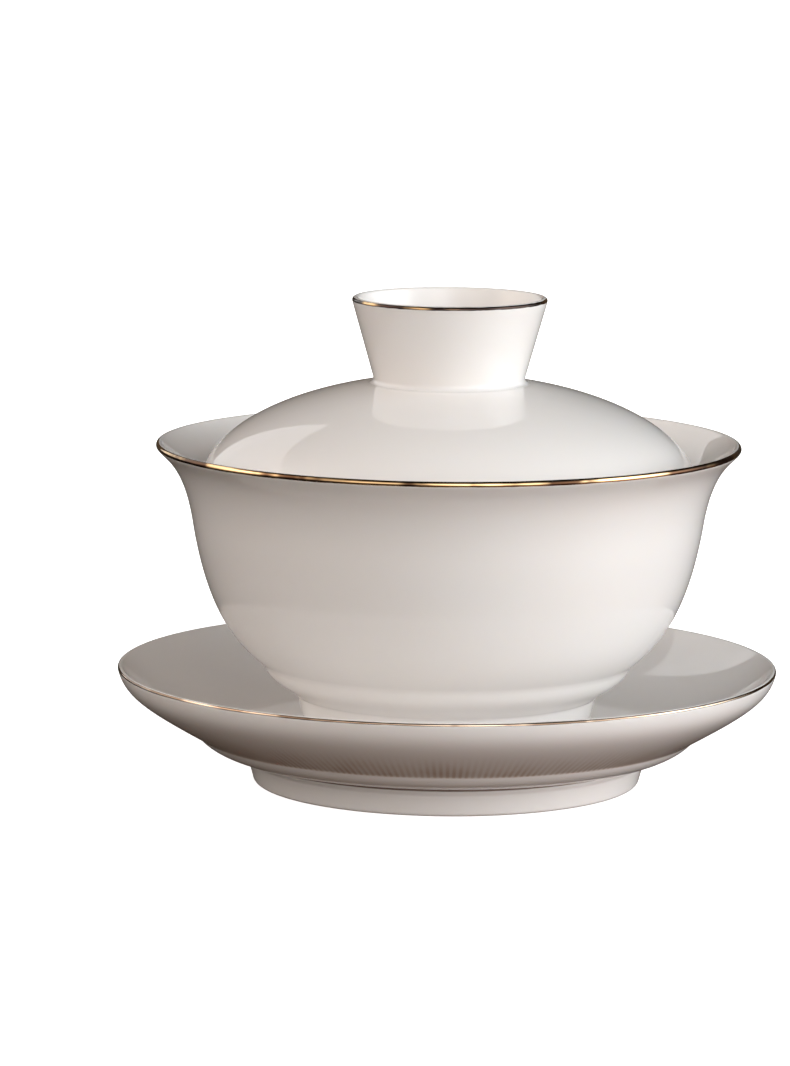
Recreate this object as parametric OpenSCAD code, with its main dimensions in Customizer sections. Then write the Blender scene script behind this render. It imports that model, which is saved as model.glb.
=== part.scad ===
// Gaiwan: a lidded tea bowl on its saucer, in glazed porcelain with gilt edges.
// Every piece is turned about the Z axis. The origin is the centre of the saucer's
// foot, on the table, and +Z is up. Lengths are in millimetres, angles in degrees.

/* [Saucer] */
// Diameter over the saucer's edge
saucer_d = 115; // [112:0.5:118]
// Height of the saucer's edge above the table
saucer_h = 20.5; // [19.5:0.1:21.5]
// Radius of the saucer's rounded edge
saucer_lip_r = 0.5; // [0.4:0.05:0.6]
// Diameter of the foot ring where it joins the dish
saucer_foot_d = 70; // [68:0.5:72]
// Height of the foot ring
saucer_foot_h = 5; // [4.5:0.1:5.5]
// Diameter where the rounded band meets the open dish
band_d = 88; // [87:0.2:90]
// Height where the rounded band meets the open dish
band_h = 8.8; // [8.4:0.1:9.2]
// Diameter of the sunk seat for the bowl's foot
seat_d = 55.6; // [54:0.2:57]
// Height of the seat's floor above the table
seat_h = 8; // [7.6:0.1:8.4]
// Depth of the sunk seat
seat_depth = 0.8; // [0.6:0.1:1]

/* [Bowl] */
// Diameter over the bowl's rim
bowl_d = 101.7; // [100:0.1:103]
// Height of the bowl from its foot to its rim
bowl_h = 51.6; // [50:0.2:53]
// Radius of the bowl's rounded lip
bowl_lip_r = 0.62; // [0.5:0.02:0.7]
// Diameter of the waist, where the belly turns into the flare
waist_d = 89; // [88:0.2:90]
// Height of the waist above the bowl's foot
waist_h = 37.8; // [37:0.2:39]
// Diameter of the crease between the foot roll and the belly
crease_d = 65; // [64:0.2:66]
// Height of the crease above the bowl's foot
crease_h = 13; // [12.6:0.1:13.4]
// Diameter of the bowl's foot ring at its top
bowl_foot_d = 52.2; // [51:0.2:53]
// Height of the bowl's foot ring
bowl_foot_h = 6.9; // [6.5:0.1:7.2]
// Thickness of the bowl's wall at the waist
bowl_wall = 2.25; // [2:0.05:2.5]

/* [Lid] */
// Diameter over the lid's edge
lid_d = 86.9; // [86:0.1:87]
// Height of the dome, as if its crown weren't cut flat for the knob
dome_h = 20.6; // [19:0.25:22]
// Depth of the lid's edge below the bowl's rim
lid_drop = 9.2; // [9:0.1:9.6]
// Thickness of the lid at its edge
lid_edge = 1.9; // [1.6:0.1:2.2]
// Thickness of the lid under the crown
crown_wall = 2; // [1.6:0.1:2.4]

/* [Knob] */
// Diameter over the knob's rim
knob_d = 33.9; // [32:0.1:36]
// Height of the knob's rim above the table, with the lid on and the bowl on its saucer
overall_h = 85; // [83:0.2:87]
// Diameter of the knob just above its base
knob_base_d = 26.4; // [25:0.1:28]
// Height and reach of the fillet at the knob's base
knob_fillet = 0.9; // [0.6:0.1:1.2]
// Thickness of the knob's wall at its base
knob_wall = 2; // [1.6:0.1:2.4]
// Radius of the knob's rounded rim
knob_lip_r = 0.6; // [0.5:0.05:0.7]

/* [Gilding] */
// Thickness of the fired-on gilt
gilt = 0.12; // [0.1:0.01:0.15]

/* [Fit] */
// Gap between the bowl's foot and the saucer's seat
foot_gap = 0.1; // [0.05:0.05:0.2]

/* [Hidden] */
$fn = 96;

porcelain = [0.94, 0.91, 0.87];
gold = [0.74, 0.54, 0.28];

// Heights at which the loose pieces stand
bowl_z = seat_h + foot_gap;
lid_z = bowl_z + bowl_h - lid_drop;

// Each lip runs round its centre from its out angle to its in angle, 0 being outermost
// and 90 the top, and its gilt covers the angles in its gilt pair

// Saucer
saucer_lip = [saucer_d / 2 - saucer_lip_r, saucer_h - saucer_lip_r];
saucer_lip_out = -15;
saucer_lip_in = 140;
saucer_gilt = [-6, 62];
saucer_foot_taper = 1.15;
saucer_foot_wall = 2.7;
saucer_recess_h = seat_h - 3.3;

// Bowl, measured from the bottom of its own foot
bowl_lip = [bowl_d / 2 - bowl_lip_r, bowl_h - bowl_lip_r];
bowl_lip_out = -38;
bowl_lip_in = 145;
bowl_gilt = [-34, 80];
bowl_floor_h = 8.9;
bowl_recess_h = 5.7;
bowl_foot_taper = 1.6;
bowl_foot_wall = 2.4;
waist_slope = 81;

// Lid, measured from the bottom of its own edge
edge_r = lid_edge / 2;
dome_a = lid_d / 2;
dome_b = dome_h - edge_r;
knob_seat_r = knob_base_d / 2 + knob_fillet;
crown_h = edge_r + ellipse_h(dome_a, dome_b, knob_seat_r);
inner_a = dome_a - lid_edge;
inner_b = crown_h - crown_wall - edge_r;

// Knob, measured from the crown
knob_h = overall_h - lid_z - crown_h;
knob_lip = [knob_d / 2 - knob_lip_r, knob_h - knob_lip_r];
knob_lip_out = -15;
knob_lip_in = 163;
knob_gilt = [-10, 62];

// Curves, each a list of [radius, height] points
function polar(r, angle) = r * [cos(angle), sin(angle)];

function ellipse_h(a, b, r) = b * sqrt(1 - (r / a) ^ 2);

function arc(centre, r, from, to, n) =
    [for (i = [0:n]) centre + polar(r, from + (to - from) * i / n)];

function elliptic(a, b, lift, from, to, n) =
    [for (i = [0:n]) let (t = from + (to - from) * i / n) [a * cos(t), lift + b * sin(t)]];

// A smooth curve that leaves p in direction p_dir and arrives at q in direction q_dir
function curve(p, p_dir, p_pull, q, q_dir, q_pull, n) =
    let (p2 = p + polar(p_pull, p_dir), q2 = q - polar(q_pull, q_dir))
    [for (i = [0:n]) let (t = i / n, u = 1 - t)
        u ^ 3 * p + 3 * u ^ 2 * t * p2 + 3 * u * t ^ 2 * q2 + t ^ 3 * q];

// A rounded lip, outside to inside, sunk by the gilt's thickness where the gilt lies
function lip(centre, r, out, inner, band) = concat(
    arc(centre, r, out, band[0], 2),
    arc(centre, r - gilt, band[0], band[1], 10),
    arc(centre, r, band[1], inner, 8)
);

// A foot ring standing on the plane at height 0, from its recess to the top of its side
function foot_ring(top, taper, wall, recess, round) =
    let (
        out_r = top[0] - taper,
        in_r = out_r - wall,
        side = atan2(top[1], taper),
        edge = 0.8
    ) concat(
        [[0, recess]],
        arc([in_r - round, recess - round], round, 90, 0, 6),
        arc([in_r + edge, edge], edge, 180, 270, 6),
        arc([out_r - edge, edge], edge, -90, side - 90, 6),
        [top]
    );

module turn(points) {
    rotate_extrude() polygon(points);
}

module gilt_band(centre, r, band) {
    turn(concat(
        arc(centre, r, band[0], band[1], 12),
        arc(centre, r - gilt, band[1], band[0], 10)
    ));
}

module saucer() {
    foot_top = [saucer_foot_d / 2, saucer_foot_h];
    crease = [band_d / 2, band_h];
    edge_out = saucer_lip + polar(saucer_lip_r, saucer_lip_out);
    edge_in = saucer_lip + polar(saucer_lip_r, saucer_lip_in);
    ledge_round = 0.7;
    ledge = [seat_d / 2 + 1, seat_h + seat_depth];
    color(porcelain) turn(concat(
        foot_ring(foot_top, saucer_foot_taper, saucer_foot_wall, saucer_recess_h, 1),
        curve(foot_top, 10, 3, crease, 50, 4, 12),
        curve(crease, 30, 12, edge_out, saucer_lip_out + 90, 3.7, 16),
        lip(saucer_lip, saucer_lip_r, saucer_lip_out, saucer_lip_in, saucer_gilt),
        curve(edge_in, saucer_lip_in + 90, 9, ledge, 181, 12, 16),
        arc(ledge - [0, ledge_round], ledge_round, 90, 150, 4),
        [[seat_d / 2, seat_h], [0, seat_h]]
    ));
}

module saucer_gilt_edge() {
    color(gold) gilt_band(saucer_lip, saucer_lip_r, saucer_gilt);
}

module bowl() {
    foot_top = [bowl_foot_d / 2, bowl_foot_h];
    roll_start = foot_top + [0.8, 0.75];
    crease = [crease_d / 2, crease_h];
    roll_end = crease - polar(0.9, 62);
    belly_start = crease + polar(0.9, 38);
    waist = [waist_d / 2, waist_h];
    inner_waist = waist - polar(bowl_wall, waist_slope - 90);
    lip_out = bowl_lip + polar(bowl_lip_r, bowl_lip_out);
    lip_in = bowl_lip + polar(bowl_lip_r, bowl_lip_in);
    floor_edge = [12, bowl_floor_h];
    color(porcelain) translate([0, 0, bowl_z]) turn(concat(
        foot_ring(foot_top, bowl_foot_taper, bowl_foot_wall, bowl_recess_h, 1),
        curve(foot_top, 75, 0.4, roll_start, 40, 0.4, 4),
        curve(roll_start, 40, 3, roll_end, 62, 2.8, 10),
        curve(roll_end, 62, 0.5, belly_start, 38, 0.5, 4),
        curve(belly_start, 38, 8.4, waist, waist_slope, 10.4, 20),
        curve(waist, waist_slope, 9.9, lip_out, bowl_lip_out + 90, 1.9, 14),
        lip(bowl_lip, bowl_lip_r, bowl_lip_out, bowl_lip_in, bowl_gilt),
        curve(lip_in, bowl_lip_in + 90, 2.6, inner_waist, waist_slope + 180, 9, 14),
        curve(inner_waist, waist_slope + 180, 16.5, floor_edge, 182, 20.5, 24),
        [[0, bowl_floor_h]]
    ));
}

module bowl_gilt_rim() {
    color(gold) translate([0, 0, bowl_z]) gilt_band(bowl_lip, bowl_lip_r, bowl_gilt);
}

module lid_dome() {
    crown_angle = acos(knob_seat_r / dome_a);
    color(porcelain) translate([0, 0, lid_z]) turn(concat(
        elliptic(inner_a, inner_b, edge_r, 90, 0, 24),
        arc([dome_a - edge_r, edge_r], edge_r, 180, 360, 14),
        elliptic(dome_a, dome_b, edge_r, 0, crown_angle, 24),
        [[0, crown_h]]
    ));
}

module lid_knob() {
    cup_floor_r = knob_base_d / 2 - knob_wall - knob_fillet;
    color(porcelain) translate([0, 0, lid_z + crown_h]) turn(concat(
        arc([knob_seat_r, knob_fillet], knob_fillet, 270, 180 + knob_lip_out, 6),
        lip(knob_lip, knob_lip_r, knob_lip_out, knob_lip_in, knob_gilt),
        arc([cup_floor_r, knob_fillet], knob_fillet, knob_lip_in - 180, -90, 6)
    ));
}

module knob_gilt_rim() {
    color(gold) translate([0, 0, lid_z + crown_h]) gilt_band(knob_lip, knob_lip_r, knob_gilt);
}

saucer();
saucer_gilt_edge();
bowl();
bowl_gilt_rim();
lid_dome();
lid_knob();
knob_gilt_rim();
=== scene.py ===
import math

import bpy
import numpy as np
from mathutils import Matrix, Vector, noise

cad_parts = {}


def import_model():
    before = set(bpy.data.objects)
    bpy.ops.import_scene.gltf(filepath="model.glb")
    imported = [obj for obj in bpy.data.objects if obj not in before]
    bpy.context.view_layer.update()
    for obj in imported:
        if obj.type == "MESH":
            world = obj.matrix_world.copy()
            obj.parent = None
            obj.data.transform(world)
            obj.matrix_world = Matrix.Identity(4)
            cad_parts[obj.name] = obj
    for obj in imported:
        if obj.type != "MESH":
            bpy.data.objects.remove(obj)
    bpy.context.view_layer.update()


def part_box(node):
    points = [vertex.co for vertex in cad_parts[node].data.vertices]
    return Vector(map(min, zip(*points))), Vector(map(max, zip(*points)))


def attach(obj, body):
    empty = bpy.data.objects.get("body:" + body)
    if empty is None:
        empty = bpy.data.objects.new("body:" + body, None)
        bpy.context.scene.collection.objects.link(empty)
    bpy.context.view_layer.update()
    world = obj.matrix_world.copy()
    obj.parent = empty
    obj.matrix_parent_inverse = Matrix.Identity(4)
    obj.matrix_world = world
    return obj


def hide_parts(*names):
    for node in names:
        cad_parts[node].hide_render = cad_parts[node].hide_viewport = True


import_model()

# Every piece is turned about the Z axis from an outline of [radius, height] points.
# Outlines are in millimetres, in the frame of the CAD part, and meshes are in metres.
MM = 0.001
SEGMENTS = 288      # steps round the axis
FINE = 2            # samples for each unit of an outline's own count
FILM = 0.015        # thickness of the gilt
UNEVEN = 0.02       # how far the glaze dips below the true surface at most
UNEVEN_LENGTH = 16  # the distance between dips
FOOT_EDGE = 0.8     # the rounding of a foot ring's lower edges
GILT_FADE = 8       # degrees over which the porcelain rises again beside the gilt
DRIFT = 0.05        # the most that an outline may differ from its CAD node in height
SAME_POINT = 1e-4   # outline points closer than this are one point
ON_LIP = 1e-3       # points closer than this to a lip's circle lie on it
ON_AXIS = 1e-6      # points closer than this to the axis lie on it
LEVEL = 1e-3        # a normal that leans outwards less than this belongs to a level face


# ---------------------------------------------------------------- what the frame says
def top_of(node):
    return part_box(node)[1].z / MM


def foot_of(node):
    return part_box(node)[0].z / MM


def radius_of(*nodes):
    return max(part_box(node)[1].x for node in nodes) / MM


SAUCER_R = radius_of("saucer", "saucer_gilt_edge")
SAUCER_TOP = top_of("saucer")
BOWL_R = radius_of("bowl", "bowl_gilt_rim")
BOWL_FOOT = foot_of("bowl")
BOWL_TOP = top_of("bowl")
LID_R = radius_of("lid_dome")
LID_EDGE = foot_of("lid_dome")
CROWN = top_of("lid_dome")
KNOB_R = radius_of("lid_knob", "knob_gilt_rim")
KNOB_TOP = top_of("lid_knob")


# ---------------------------------------------------------------- outlines
def polar(r, angle):
    return np.array([r * math.cos(math.radians(angle)), r * math.sin(math.radians(angle))])


def arc(centre, r, start, end, n):
    return [np.array(centre) + polar(r, a) for a in np.linspace(start, end, n * FINE + 1)]


def elliptic(a, b, lift, start, end, n):
    angles = np.radians(np.linspace(start, end, n * FINE + 1))
    return [np.array([a * math.cos(t), lift + b * math.sin(t)]) for t in angles]


def curve(p, p_dir, p_pull, q, q_dir, q_pull, n):
    """A smooth curve that leaves p in direction p_dir and arrives at q in direction q_dir."""
    p, q = np.array(p, float), np.array(q, float)
    p2, q2 = p + polar(p_pull, p_dir), q - polar(q_pull, q_dir)
    steps = np.linspace(0, 1, n * FINE + 1)
    return [
        (1 - t) ** 3 * p + 3 * (1 - t) ** 2 * t * p2 + 3 * (1 - t) * t**2 * q2 + t**3 * q
        for t in steps
    ]


def straight(p, q, n):
    return [np.array(p) + (np.array(q) - np.array(p)) * t for t in np.linspace(0, 1, n * FINE + 1)]


def foot_ring(base, top, taper, wall, recess, recess_round):
    """A foot ring standing at height base, from the middle of its recess to the top of its side."""
    out_r, edge = top[0] - taper, FOOT_EDGE
    in_r = out_r - wall
    side = math.degrees(math.atan2(top[1], taper))
    up = np.array([0, base])
    heel = arc([out_r - edge, edge], edge, -90, side - 90, 6)
    parts = (
        straight([0, recess], [in_r - recess_round, recess], 12),
        arc([in_r - recess_round, recess - recess_round], recess_round, 90, 0, 4),
        straight([in_r, recess - recess_round], [in_r, edge], 3),
        arc([in_r + edge, edge], edge, 180, 270, 4),
        heel,
        straight(heel[-1], top, 14),
    )
    return [point + up for part in parts for point in part]


def joined(*parts):
    """The parts as one outline, without points that repeat."""
    points = [np.array(point, float) for part in parts for point in part]
    kept = [points[0]]
    for point in points[1:]:
        if np.abs(point - kept[-1]).max() > SAME_POINT:
            kept.append(point)
    return np.array(kept)


def eased(points, at, reach):
    """The outline with the corner nearest to the point at rounded off, as glaze rounds it."""
    k = int(np.argmin(np.hypot(*(points - np.array(at)).T)))
    corner = points[k]
    away = np.hypot(*(points - corner).T)
    before = max(i for i in range(k) if away[i] >= reach)
    after = min(i for i in range(k + 1, len(points)) if away[i] >= reach)
    p = corner + (points[before] - corner) * reach / away[before]
    q = corner + (points[after] - corner) * reach / away[after]
    steps = np.linspace(0, 1, 4 * FINE + 1)
    bend = [(1 - t) ** 2 * p + 2 * t * (1 - t) * corner + t**2 * q for t in steps]
    return np.concatenate([points[: before + 1], bend, points[after:]])


def worked(points, at, marks):
    """The outline with beads and grooves near the point at.

    Each mark is (distance along, height, width), and a groove's height is negative.
    """
    along = np.concatenate([[0], np.cumsum(np.hypot(*np.diff(points, axis=0).T))])
    along -= along[np.argmin(np.hypot(*(points - np.array(at)).T))]
    lift = sum(height * np.exp(-(((along - offset) / width) ** 2)) for offset, height, width in marks)
    return points + normals(points, False) * lift[:, None]


class Lip:
    """A rounded lip: its centre, its radius and the angles where it starts, ends and is gilded."""

    def __init__(self, outer_r, top, r, out, inner, gilt):
        self.centre = np.array([outer_r - r, top - r])
        self.r, self.out, self.inner, self.gilt = r, out, inner, gilt

    def at(self, angle):
        return self.centre + polar(self.r, angle)

    def points(self):
        return arc(self.centre, self.r, self.out, self.inner, 14)


saucer_lip = Lip(SAUCER_R, SAUCER_TOP, 0.5, -15, 140, (-6, 62))
bowl_lip = Lip(BOWL_R, BOWL_TOP, 0.62, -38, 145, (-34, 80))
knob_lip = Lip(KNOB_R, KNOB_TOP, 0.6, -15, 163, (-10, 62))


# The two corners under the saucer, which its glaze needs to know as well as its outline.
SAUCER_FOOT_TOP = [35, 5]
SAUCER_CREASE = [44, 8.8]


def saucer_outline():
    foot_top, crease = SAUCER_FOOT_TOP, SAUCER_CREASE
    seat_r, seat, ledge, ledge_round = 27.8, 8, [28.8, 8.8], 0.7
    bead, groove = (-0.65, 0.07, 0.25), (-1.3, -0.06, 0.3)
    points = joined(
        foot_ring(0, foot_top, 1.15, 2.7, 4.7, 1),
        curve(foot_top, 10, 3, crease, 50, 4, 8),
        curve(crease, 30, 12, saucer_lip.at(saucer_lip.out), saucer_lip.out + 90, 3.7, 14),
        saucer_lip.points(),
        curve(saucer_lip.at(saucer_lip.inner), saucer_lip.inner + 90, 9, ledge, 181, 12, 20),
        arc([ledge[0], ledge[1] - ledge_round], ledge_round, 90, 150, 3),
        straight([seat_r, seat], [0, seat], 20),
    )
    points = eased(points, foot_top, 0.3)
    points = eased(points, crease, 0.5)
    points = worked(points, foot_top, [bead, groove])
    return eased(points, [seat_r, seat], 0.35)


def distance_along(points, at):
    """How far along the outline its point nearest to the point at lies, in metres."""
    steps = np.concatenate([[0], np.cumsum(np.hypot(*np.diff(points, axis=0).T))])
    return steps[np.argmin(np.hypot(*(points - np.array(at)).T))] * MM


def bowl_outline():
    base = np.array([0, BOWL_FOOT])
    foot_top = np.array([26.1, 6.9]) + base
    roll_start = foot_top + [0.8, 0.75]
    crease = np.array([32.5, 13]) + base
    roll_end, belly_start = crease - polar(0.9, 62), crease + polar(0.9, 38)
    waist, waist_slope, wall = np.array([44.5, 37.8]) + base, 81, 2.25
    inner_waist = waist - polar(wall, waist_slope - 90)
    lip_end, floor_edge = bowl_lip.at(bowl_lip.inner), np.array([12, 8.9]) + base
    return joined(
        foot_ring(BOWL_FOOT, [26.1, 6.9], 1.6, 2.4, 5.7, 1),
        curve(foot_top, 75, 0.4, roll_start, 40, 0.4, 3),
        curve(roll_start, 40, 3, roll_end, 62, 2.8, 6),
        curve(roll_end, 62, 0.5, belly_start, 38, 0.5, 3),
        curve(belly_start, 38, 8.4, waist, waist_slope, 10.4, 16),
        curve(waist, waist_slope, 9.9, bowl_lip.at(bowl_lip.out), bowl_lip.out + 90, 1.9, 12),
        bowl_lip.points(),
        curve(lip_end, bowl_lip.inner + 90, 2.6, inner_waist, waist_slope + 180, 9, 12),
        curve(inner_waist, waist_slope + 180, 16.5, floor_edge, 182, 20.5, 20),
        straight(floor_edge, [0, floor_edge[1]], 8),
    )


def dome_outline():
    edge, crown_wall, seat_r = 1.9, 2, 14.1
    r, lift = edge / 2, LID_EDGE + edge / 2
    outer_b = (CROWN - lift) / math.sqrt(1 - (seat_r / LID_R) ** 2)
    inner_b = CROWN - crown_wall - lift
    crown_angle = math.degrees(math.acos(seat_r / LID_R))
    return joined(
        elliptic(LID_R - edge, inner_b, lift, 90, 0, 24),
        arc([LID_R - r, lift], r, 180, 360, 7),
        elliptic(LID_R, outer_b, lift, 0, crown_angle, 24),
        straight([seat_r, CROWN], [0, CROWN], 6),
    )


def knob_outline():
    seat_r, cup_r, fillet = 14.1, 10.3, 0.9
    outer = arc([seat_r, CROWN + fillet], fillet, 270, 180 + knob_lip.out, 4)
    inner = arc([cup_r, CROWN + fillet], fillet, knob_lip.inner - 180, -90, 4)
    return joined(
        outer,
        straight(outer[-1], knob_lip.at(knob_lip.out), 8),
        knob_lip.points(),
        straight(knob_lip.at(knob_lip.inner), inner[0], 8),
        inner,
        straight(inner[-1], outer[0], 2),
    )


# ---------------------------------------------------------------- turning an outline into a piece
def normals(points, closed):
    """Unit normals of the outline, pointing out of the solid."""
    if closed:
        along = np.roll(points, -1, 0) - np.roll(points, 1, 0)
    else:
        along = np.gradient(points, axis=0)
    along /= np.hypot(*along.T)[:, None]
    return np.stack([along[:, 1], -along[:, 0]], 1)


def dip(x, y, z):
    """How far the glaze dips here, from 0 to 1: slow waves, as a hand-finished surface has."""
    at = Vector((x, y, z)) / UNEVEN_LENGTH
    return 0.5 + 0.5 * noise.noise(at)


def turned(name, points, closed, shift):
    """A mesh turned from an outline. shift(k, angle) moves point k of the outline, in millimetres."""
    angles = np.linspace(0, 2 * math.pi, SEGMENTS, endpoint=False)
    travel = np.concatenate([[0], np.cumsum(np.hypot(*np.diff(points, axis=0).T))])
    verts, rows = [], []
    for k, point in enumerate(points):
        if point[0] < ON_AXIS:
            rows.append([len(verts)] * SEGMENTS)
            verts.append((0, 0, point[1] * MM))
            continue
        rows.append(list(range(len(verts), len(verts) + SEGMENTS)))
        for angle in angles:
            r, z = point + shift(k, angle)
            verts.append((r * math.cos(angle) * MM, r * math.sin(angle) * MM, z * MM))
    faces, where = [], []
    count = len(points)
    for k in range(count if closed else count - 1):
        low, high = rows[k], rows[(k + 1) % count]
        v0, v1 = travel[k], travel[k + 1] if k + 1 < count else travel[k]
        for i in range(SEGMENTS):
            j = (i + 1) % SEGMENTS
            corners = [(low[i], i, v0), (low[j], i + 1, v0), (high[j], i + 1, v1), (high[i], i, v1)]
            kept = [c for n, c in enumerate(corners) if c[0] != corners[n - 1][0]]
            faces.append([c[0] for c in kept])
            where += [(c[1] / SEGMENTS, c[2] * MM) for c in kept]
    mesh = bpy.data.meshes.new(name)
    mesh.from_pydata(verts, [], faces)
    mesh.uv_layers.new(name="turning").data.foreach_set("uv", np.array(where).ravel())
    mesh.shade_smooth()
    mesh.validate()
    piece = bpy.data.objects.new(name, mesh)
    bpy.context.scene.collection.objects.link(piece)
    return piece


def porcelain_piece(name, node, points, lip=None, closed=False):
    """A porcelain piece that stands for a CAD node. Its lip is sunk where the gilt lies."""
    out = normals(points, closed)
    fits(node, points)
    depth = np.zeros(len(points))
    if lip is not None:
        depth = FILM * gilded(points, lip)
    level = np.abs(out[:, 0]) < LEVEL  # faces that another piece or the table touches stay level

    def shift(k, angle):
        if level[k]:
            return -out[k] * depth[k]
        r, z = points[k]
        here = UNEVEN * dip(r * math.cos(angle), r * math.sin(angle), z)
        return -out[k] * (depth[k] + here)

    return turned(name, points, closed, shift)


def gilded(points, lip):
    """1 where the lip is gilded, falling to 0 past each end of the gilt."""
    off = points - lip.centre
    angle = np.degrees(np.arctan2(off[:, 1], off[:, 0]))
    near = np.abs(np.hypot(*off.T) - lip.r) < ON_LIP
    start, end = lip.gilt
    share = np.clip(1 - np.maximum(start - angle, angle - end) / GILT_FADE, 0, 1)
    return np.where(near, share * share * (3 - 2 * share), 0)


def gilt_piece(name, lip, seed):
    """A film of gilt on a lip, with edges that waver as a brush does."""
    across, margin, sway, feather = 18, 3, 0.1, 6
    start, end = lip.gilt
    steps = np.linspace(0, 1, across + 1)

    def stray(angle, side):
        """How far the brush strays here, in degrees round the lip: a slow wave and a quick one."""
        slow = Vector((math.cos(angle) * 9, math.sin(angle) * 9, seed + side))
        quick = Vector((math.cos(angle) * 40, math.sin(angle) * 40, seed + side))
        return math.degrees(sway * (0.75 * noise.noise(slow) + 0.25 * noise.noise(quick)) / lip.r)

    def film(k, angle):
        """Point k of the film's outline: first along its top, then back along its underside."""
        first, last = start + margin + stray(angle, 0), end - margin + stray(angle, 7)
        top = k <= across
        t = steps[k] if top else steps[2 * across - k]
        turn = first + (last - first) * t
        rise = FILM * min(1, min(t, 1 - t) * feather) if top else -FILM
        here = polar(lip.r, turn) + lip.centre
        dipped = UNEVEN * dip(here[0] * math.cos(angle), here[0] * math.sin(angle), here[1])
        return lip.centre + polar(lip.r - FILM + rise - dipped, turn)

    blank = np.array([film(k, 0) for k in range(2 * across)])
    return turned(name, blank, True, lambda k, angle: film(k, angle) - blank[k])


def fits(node, points):
    """Stops the script if an outline has drifted from the CAD node that it stands for."""
    low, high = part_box(node)
    gap = max(abs(points[:, 1].min() - low.z / MM), abs(points[:, 1].max() - high.z / MM))
    assert gap < DRIFT, f"{node}: the outline and the CAD part differ by {gap:.3f} mm"


# ---------------------------------------------------------------- materials
class Nodes:
    """A short way to build a node material."""

    def __init__(self, name):
        self.material = bpy.data.materials.new(name)
        self.material.use_nodes = True
        self.tree = self.material.node_tree
        self.tree.nodes.clear()
        self.shader = self.add("ShaderNodeBsdfPrincipled")
        output = self.add("ShaderNodeOutputMaterial")
        self.link(self.shader.outputs["BSDF"], output.inputs["Surface"])

    def add(self, kind, **settings):
        node = self.tree.nodes.new(kind)
        for key, value in settings.items():
            setattr(node, key, value)
        return node

    def link(self, output, socket):
        self.tree.links.new(output, socket)

    def math(self, operation, a, b=0.0):
        node = self.add("ShaderNodeMath", operation=operation)
        for socket, value in zip(node.inputs, (a, b)):
            if isinstance(value, (int, float)):
                socket.default_value = value
            else:
                self.link(value, socket)
        return node.outputs[0]

    def turning(self):
        """How far round, where once round is 1, and how far along the outline, in metres."""
        uv = self.add("ShaderNodeSeparateXYZ")
        self.link(self.add("ShaderNodeTexCoord").outputs["UV"], uv.inputs[0])
        return uv.outputs["X"], uv.outputs["Y"]

    def noise(self, vector, scale, detail=2.0, roughness=0.5):
        node = self.add("ShaderNodeTexNoise")
        self.link(vector, node.inputs["Vector"])
        node.inputs["Scale"].default_value = scale
        node.inputs["Detail"].default_value = detail
        node.inputs["Roughness"].default_value = roughness
        return node.outputs["Fac"]

    def ramp(self, value, low, high, to_low=0.0, to_high=1.0):
        node = self.add("ShaderNodeMapRange", interpolation_type="SMOOTHSTEP")
        self.link(value, node.inputs["Value"])
        limits = {"From Min": low, "From Max": high, "To Min": to_low, "To Max": to_high}
        for name, number in limits.items():
            node.inputs[name].default_value = number
        return node.outputs[0]

    def mix(self, factor, a, b):
        node = self.add("ShaderNodeMix", data_type="RGBA")
        self.link(factor, node.inputs["Factor"])
        for socket, value in ((node.inputs[6], a), (node.inputs[7], b)):
            if isinstance(value, tuple):
                socket.default_value = (*value, 1)
            else:
                self.link(value, socket)
        return node.outputs[2]

    def bump(self, height, distance, normal=None):
        node = self.add("ShaderNodeBump")
        node.inputs["Strength"].default_value = 1
        node.inputs["Distance"].default_value = distance
        self.link(height, node.inputs["Height"])
        if normal is not None:
            self.link(normal, node.inputs["Normal"])
        return node.outputs["Normal"]


GLAZE = (0.81, 0.785, 0.762)
GLAZE_COOL = (0.82, 0.80, 0.785)
BISQUE = (0.74, 0.69, 0.62)
# painted reflection: the colour of the dark upright streaks under the saucer
STREAK_REFLECTION = (0.52, 0.42, 0.35)
# painted shade: the colour of the dark line at the top of the saucer's foot ring
CREASE_SHADE = (0.16, 0.10, 0.08)
GOLD = (0.90, 0.62, 0.33)
# painted reflection: dark and near-black patches where the gilt shows dark surroundings
GOLD_REFLECTED_DARK = (0.13, 0.065, 0.035)
GOLD_REFLECTED_BLACK = (0.045, 0.03, 0.025)
PALE_GOLD = (0.66, 0.52, 0.40)
# painted reflection: dark patches on the pale gilt
PALE_GOLD_REFLECTED_DARK = (0.30, 0.21, 0.15)

# The glaze and the gilt. Lengths are in metres.
STREAKS_ROUND = 264     # streaks once round the saucer
STREAK_LENGTH = 0.011
STREAK_ONSET = 0.0004   # the streaks reach full strength over this distance
SHADE_LINE_CORE = 0.0001      # half the width of the darkest part of the painted shade line
SHADE_LINE_REACH = 0.0003     # half the width of the whole line
SHADE_LINE_OFFSET = 0.00016   # the line lies this far down the foot ring from its top corner
BARE_BAND = 0.0001      # the glaze ends this far above the foot, over as much again
BARE_RAGGED = 0.0003    # and its edge wanders by this much
BARE_MATT = 0.55        # how much rougher the bare porcelain is than the glaze
RIPPLE = 0.000008       # depth of the slow ripples in the glaze
PORES = 0.00008         # depth of the pores in the bare porcelain
BRUSHED = (60, 2600, 1)  # the grain of the brush: long round the lip, and fine across it
BRUSH_DEPTH = 0.000003
TONE_BLEND = 0.14       # how softly the light gilt turns into its painted dark reflection


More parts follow.
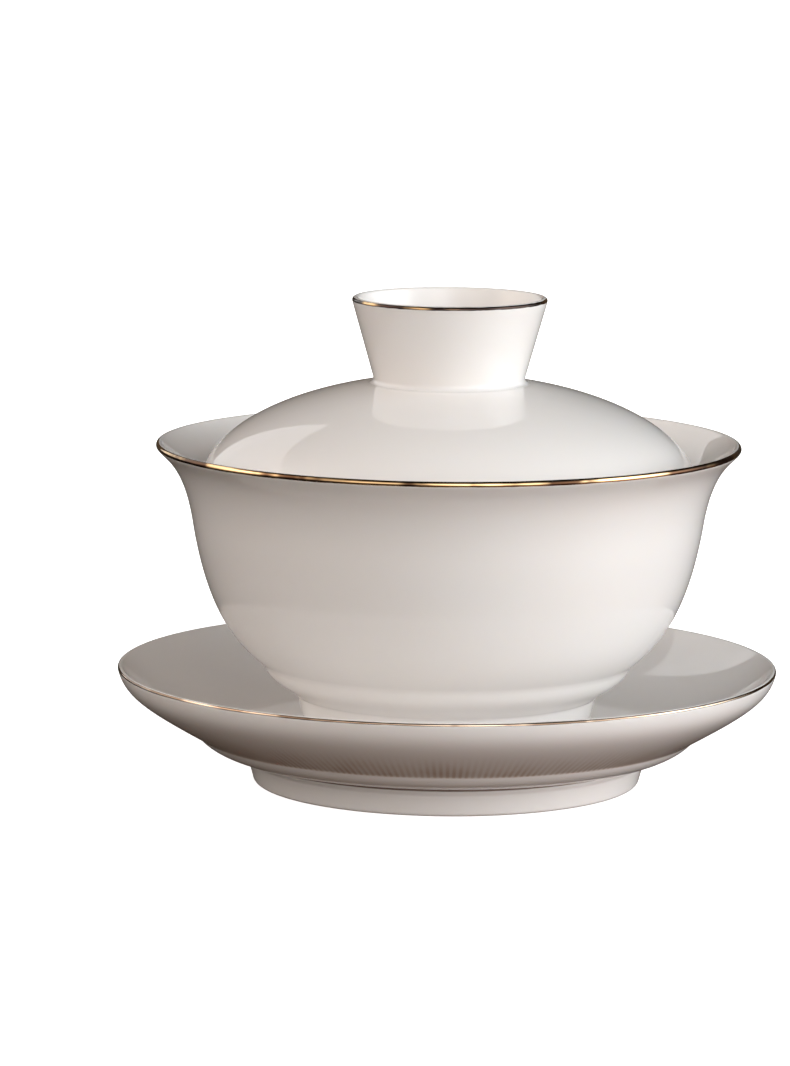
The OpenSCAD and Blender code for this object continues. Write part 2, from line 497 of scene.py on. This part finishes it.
def painted_reflection_streaks(n, place, start, end):
    """How strongly the painted reflection streaks show: fine, upright and even, strongest at start,
    none at end.
    """
    round_about, along = n.turning()
    wave = n.math("SINE", n.math("MULTIPLY", round_about, 2 * math.pi * STREAKS_ROUND))
    reach = n.ramp(along, start, end, 1, 0)
    inside = n.ramp(along, start - STREAK_ONSET, start, 0, 1)
    patchy = n.ramp(n.noise(place, 140, 2), 0.3, 0.7, 0.6, 1)
    strength = n.math("MULTIPLY", n.math("MULTIPLY", reach, inside), patchy)
    return n.math("MULTIPLY", n.ramp(wave, -1, 1, 0.5, 1), strength)


def painted_shade_line(n, at):
    """How dark the painted shade line at the top of the foot ring is. It lies this many metres along
    the outline.
    """
    away = n.math("ABSOLUTE", n.math("SUBTRACT", n.turning()[1], at))
    return n.ramp(away, SHADE_LINE_CORE, SHADE_LINE_REACH, 0.9, 0)


def porcelain(name, bare_below, streaks=None, corner=None):
    """Glazed porcelain, with a bare, matt edge below the height bare_below.

    streaks is the stretch of the outline over which fine upright streaks of painted dark reflection
    fade out, and corner is where a dark line of painted shade lies. Both are in metres along the
    outline.
    """
    n = Nodes(name)
    place = n.add("ShaderNodeTexCoord").outputs["Object"]
    height = n.add("ShaderNodeSeparateXYZ")
    n.link(place, height.inputs[0])

    ragged = n.noise(place, 900, 3)
    line = n.math("ADD", height.outputs["Z"], n.math("MULTIPLY", ragged, BARE_RAGGED))
    bare = n.ramp(line, bare_below + BARE_BAND, bare_below + 2 * BARE_BAND, 1, 0)

    cloud = n.noise(place, 22, 3, 0.45)
    grain = n.noise(place, 520, 2)
    glaze = n.mix(n.ramp(cloud, 0.35, 0.65), GLAZE, GLAZE_COOL)
    body = n.mix(n.ramp(grain, 0.3, 0.8), BISQUE, GLAZE)
    # painted reflection: dark upright streaks under the saucer, strongest by the crease
    if streaks is not None:
        glaze = n.mix(painted_reflection_streaks(n, place, *streaks), glaze, STREAK_REFLECTION)
    # painted shade: a dark line where shade falls at the top of the foot ring
    if corner is not None:
        glaze = n.mix(painted_shade_line(n, corner), glaze, CREASE_SHADE)
    n.link(n.mix(bare, glaze, body), n.shader.inputs["Base Color"])

    sheen = n.ramp(n.noise(place, 60, 4, 0.6), 0.3, 0.75, 0.035, 0.075)
    matt = n.math("MULTIPLY", bare, BARE_MATT)
    n.link(n.math("ADD", sheen, matt), n.shader.inputs["Roughness"])

    slow = n.bump(n.noise(place, 95, 1, 0.4), RIPPLE)
    pores = n.math("MULTIPLY", bare, n.noise(place, 2600, 3, 0.7))
    n.link(n.bump(pores, PORES, slow), n.shader.inputs["Normal"])

    n.shader.inputs["IOR"].default_value = 1.52
    n.shader.inputs["Subsurface Weight"].default_value = 0.12
    n.shader.inputs["Subsurface Radius"].default_value = (1.0, 0.75, 0.5)
    n.shader.inputs["Subsurface Scale"].default_value = 0.0015
    return n.material


def gilt(name, reflection_from, light, dark_reflection):
    """Polished gilt, brushed on round the lip, with dark patches painted in as reflections where the
    noise passes the given threshold.
    """
    n = Nodes(name)
    turning = n.add("ShaderNodeTexCoord").outputs["UV"]
    stretch = n.add("ShaderNodeMapping")
    stretch.inputs["Scale"].default_value = BRUSHED
    n.link(turning, stretch.inputs["Vector"])
    brush = n.noise(stretch.outputs[0], 1, 3, 0.6)
    place = n.add("ShaderNodeTexCoord").outputs["Object"]
    patch = n.noise(place, 90, 3)
    # the dark patches are painted reflections of dark surroundings in the gilt
    tone = n.mix(n.ramp(patch, reflection_from, reflection_from + TONE_BLEND), light, dark_reflection)
    n.link(tone, n.shader.inputs["Base Color"])
    n.link(n.ramp(brush, 0.25, 0.8, 0.05, 0.12), n.shader.inputs["Roughness"])
    n.link(n.bump(brush, BRUSH_DEPTH), n.shader.inputs["Normal"])
    n.shader.inputs["Metallic"].default_value = 1
    return n.material


# ---------------------------------------------------------------- the pieces
def place(piece, material, body, node, slot):
    piece.data.materials.append(material)
    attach(piece, body)
    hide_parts(node)


GLAZED_ALL_OVER = -1.0
STREAK_START = distance_along(saucer_outline(), SAUCER_CREASE)
STREAKS = (STREAK_START, STREAK_START + STREAK_LENGTH)
# where the painted shade line lies along the saucer's outline
FOOT_CORNER = distance_along(saucer_outline(), SAUCER_FOOT_TOP) - SHADE_LINE_OFFSET
saucer_glaze = porcelain("saucer_glaze", foot_of("saucer") * MM, STREAKS, FOOT_CORNER)
bowl_glaze = porcelain("bowl_glaze", BOWL_FOOT * MM)
lid_glaze = porcelain("lid_glaze", GLAZED_ALL_OVER)
# the dark tones of each gilt are painted reflections
rim_gold = gilt("gilt", 0.46, GOLD, GOLD_REFLECTED_DARK)
knob_gold = gilt("knob_gilt", 0.38, GOLD, GOLD_REFLECTED_BLACK)
edge_gold = gilt("worn_gilt", 0.42, PALE_GOLD, PALE_GOLD_REFLECTED_DARK)

saucer = porcelain_piece("saucer_body", "saucer", saucer_outline(), saucer_lip)
place(saucer, saucer_glaze, "saucer_body", "saucer", "porcelain")
bowl = porcelain_piece("bowl_wall", "bowl", bowl_outline(), bowl_lip)
place(bowl, bowl_glaze, "bowl_body", "bowl", "porcelain")
dome = porcelain_piece("lid_shell", "lid_dome", dome_outline())
place(dome, lid_glaze, "lid_body", "lid_dome", "porcelain")
knob = porcelain_piece("lid_knob_ring", "lid_knob", knob_outline(), knob_lip, closed=True)
place(knob, lid_glaze, "lid_body", "lid_knob", "porcelain")

saucer_gilding = gilt_piece("saucer_gilding", saucer_lip, 1)
place(saucer_gilding, edge_gold, "saucer_body", "saucer_gilt_edge", "gilt")
bowl_gilding = gilt_piece("bowl_gilding", bowl_lip, 2)
place(bowl_gilding, rim_gold, "bowl_body", "bowl_gilt_rim", "gilt")
knob_gilding = gilt_piece("knob_gilding", knob_lip, 3)
place(knob_gilding, knob_gold, "lid_body", "knob_gilt_rim", "gilt")


# ---------------------------------------------------------------- floor, light and camera
FLOOR_SIZE = 16
FLOOR_GLOW = 0.82
SOFTBOX_DISTANCE = 1.3
MIDDLE = Vector((0, 0, 0.04))


def floor():
    """A plain pale floor, lit from within as a light table is, with a trace of shadow.

    Reflections and bounced light come from the world's lower half instead of from the floor.
    """
    half = FLOOR_SIZE / 2
    mesh = bpy.data.meshes.new("floor")
    corners = [(-half, -half, 0), (half, -half, 0), (half, half, 0), (-half, half, 0)]
    mesh.from_pydata(corners, [], [(0, 1, 2, 3)])
    surface = Nodes("floor_paper")
    spot = surface.add("ShaderNodeTexCoord").outputs["Object"]
    tone = surface.mix(surface.noise(spot, 3), (0.93, 0.93, 0.93), (0.95, 0.95, 0.95))
    surface.link(tone, surface.shader.inputs["Base Color"])
    surface.shader.inputs["Roughness"].default_value = 0.9
    surface.shader.inputs["Specular IOR Level"].default_value = 0.1
    surface.shader.inputs["Emission Color"].default_value = (1, 1, 1, 1)
    surface.shader.inputs["Emission Strength"].default_value = FLOOR_GLOW
    mesh.materials.append(surface.material)
    ground = bpy.data.objects.new("floor", mesh)
    ground.visible_glossy = False
    ground.visible_diffuse = False
    bpy.context.scene.collection.objects.link(ground)


def direction(azimuth, elevation):
    """A direction from the object. Azimuth 0 is the camera's side and 90 is its right."""
    a, e = math.radians(azimuth), math.radians(elevation)
    return Vector((math.sin(a) * math.cos(e), -math.cos(a) * math.cos(e), math.sin(e)))


def softbox(name, azimuth, elevation, width, height, brightness):
    """A flat light with sharp edges, as bright as this on its face, aimed at the object."""
    lamp = bpy.data.lights.new(name, "AREA")
    lamp.shape = "RECTANGLE"
    lamp.size, lamp.size_y = width, height
    lamp.energy = brightness * math.pi * width * height
    away = direction(azimuth, elevation)
    box = bpy.data.objects.new(name, lamp)
    box.location = MIDDLE + away * SOFTBOX_DISTANCE
    box.rotation_mode = "QUATERNION"
    box.rotation_quaternion = (-away).to_track_quat("-Z", "Y")
    box.visible_camera = False
    bpy.context.scene.collection.objects.link(box)


def world(lobes):
    """Soft light from all round, as a sum of wide lobes.

    Each lobe is (name, azimuth, elevation, sharpness, strength, colour).
    """
    sky = bpy.data.worlds.new("studio")
    sky.use_nodes = True
    tree = sky.node_tree
    tree.nodes.clear()
    shader = tree.nodes.new("ShaderNodeBackground")
    tree.links.new(shader.outputs[0], tree.nodes.new("ShaderNodeOutputWorld").inputs[0])
    look = tree.nodes.new("ShaderNodeTexCoord").outputs["Generated"]
    total = None
    for name, azimuth, elevation, sharpness, strength, colour in lobes:
        facing = tree.nodes.new("ShaderNodeVectorMath")
        facing.operation = "DOT_PRODUCT"
        facing.inputs[1].default_value = direction(azimuth, elevation)
        tree.links.new(look, facing.inputs[0])
        half = tree.nodes.new("ShaderNodeMath")
        half.operation = "MULTIPLY_ADD"
        half.inputs[1].default_value = half.inputs[2].default_value = 0.5
        tree.links.new(facing.outputs["Value"], half.inputs[0])
        power = tree.nodes.new("ShaderNodeMath")
        power.operation, power.inputs[1].default_value = "POWER", sharpness
        tree.links.new(half.outputs[0], power.inputs[0])
        tint = tree.nodes.new("ShaderNodeVectorMath")
        tint.name = name
        tint.operation = "MULTIPLY_ADD"
        tint.inputs[1].default_value = Vector(colour) * strength
        tree.links.new(power.outputs[0], tint.inputs[0])
        if total is not None:
            tree.links.new(total, tint.inputs[2])
        total = tint.outputs[0]
    tree.links.new(total, shader.inputs["Color"])
    bpy.context.scene.world = sky


def camera():
    """The camera, at the picture's viewing angle, with a long lens."""
    lens, distance, height = 183.2, 0.935, 0.1836
    pitch, yaw, roll = 8.52, 0.565, 0.40
    data = bpy.data.cameras.new("camera")
    data.lens = lens
    data.clip_start, data.clip_end = 0.01, 50
    eye = bpy.data.objects.new("camera", data)
    eye.rotation_mode = "QUATERNION"
    turn = Matrix.Rotation(math.radians(yaw), 4, "Z")
    turn = turn @ Matrix.Rotation(math.radians(90 - pitch), 4, "X")
    turn = turn @ Matrix.Rotation(math.radians(roll), 4, "Z")
    eye.matrix_world = Matrix.Translation((0, -distance, height)) @ turn
    bpy.context.scene.collection.objects.link(eye)
    bpy.context.scene.camera = eye


WHITE = (1, 1, 1)
COOL = (0.95, 1, 1.03)
WARM = (1, 0.90, 0.83)
DIM = (1, 0.78, 0.6)
BROWN = (1, 0.55, 0.38)
floor()
softbox("window", -134, 24, 0.98, 0.92, 1.0)
world([
    ("right_low", 72, 10, 30, 3.6, COOL),
    ("right_high", 78, 26, 34, 3.1, COOL),
    ("between", 38, 10, 34, 1.4, WHITE),
    ("front_low", 12, 9, 40, 1.8, WARM),
    ("front_high", 12, 28, 34, 2.3, WHITE),
    ("front_left", -34, 24, 34, 1.4, WARM),
    ("left", -90, 27, 26, 3.2, WARM),
    ("right_back", 104, 12, 60, 2.8, COOL),
    ("back", 180, 20, 12, 0.1, DIM),
    ("table", 0, -75, 3, 0.06, DIM),
    ("table_right", 90, -45, 8, 0.34, BROWN),
])
camera()
bpy.context.scene.view_settings.view_transform = "Standard"
